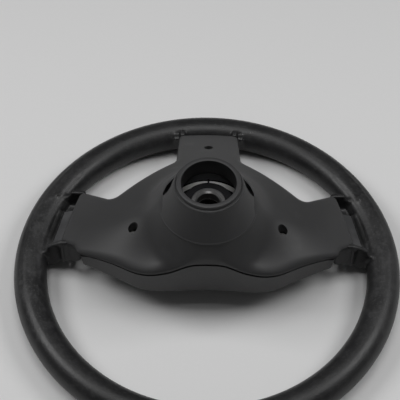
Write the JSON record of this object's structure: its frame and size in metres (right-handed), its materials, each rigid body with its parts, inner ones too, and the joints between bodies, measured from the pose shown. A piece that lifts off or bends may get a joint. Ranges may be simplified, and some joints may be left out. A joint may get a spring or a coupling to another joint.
{
  "type": "car steering wheel",
  "caption": "Three-spoke car steering wheel with a moulded back cover, a flared collar over the column bore and a sprung horn pad.",
  "frame": {"origin": "on the steering axis, in the plane that the front of the rim rests on", "axes": "+Z along the steering axis towards the column, +Y along the third spoke, +X to the right seen from the column side with the third spoke up"},
  "size_m": [0.37, 0.37, 0.1409],
  "materials": {
    "core_steel": "rolled steel rod, lightly oiled",
    "rim_foam": "skinned polyurethane foam with a fine grain",
    "black_steel": "black electro-dipped pressed steel",
    "hub_steel": "turned steel with faint lathe marks",
    "carrier_plastic": "black moulded plastic",
    "ring_metal": "nickel-plated ring with a polished track",
    "fastener_steel": "zinc-plated steel",
    "cover_plastic": "black moulded plastic with a fine grain",
    "pad_plastic": "black moulded plastic with a leather-like grain",
    "bush_plastic": "off-white low-friction plastic",
    "spring_steel": "bright drawn spring wire",
    "zinc_steel": "zinc-plated pressed steel",
    "contact_brass": "stamped brass strip",
    "insulator_board": "laminated insulating board",
    "lead_sleeve": "sleeved lead"
  },
  "bodies": {
    "wheel": {"rim_core": "core_steel", "rim_grip": "rim_foam", "spoke_frame": "black_steel", "hub_boss": "hub_steel", "slip_ring_carrier": "carrier_plastic", "slip_ring": "ring_metal", "carrier_rivets": "fastener_steel", "back_cover": "cover_plastic", "cover_screws": "fastener_steel", "cover_nuts": "fastener_steel", "pad_bracket": "black_steel", "guide_bushes": "bush_plastic", "horn_springs": "spring_steel", "fixed_contact": "contact_brass", "contact_insulator": "insulator_board", "contact_rivets": "fastener_steel", "horn_lead": "lead_sleeve"},
    "pad": {"horn_pad": "pad_plastic", "pad_frame": "zinc_steel", "pad_screws": "fastener_steel", "guide_bolts": "fastener_steel", "moving_contact": "contact_brass"}
  },
  "joints": [
    {"name": "horn_press", "type": "slide", "parent": "wheel", "child": "pad", "axis": [0, 0, 1], "range_m": [0, 0.0015], "stiffness_N_per_m": 4000, "springref_m": -0.004, "deforming": ["horn_springs"]}
  ]
}
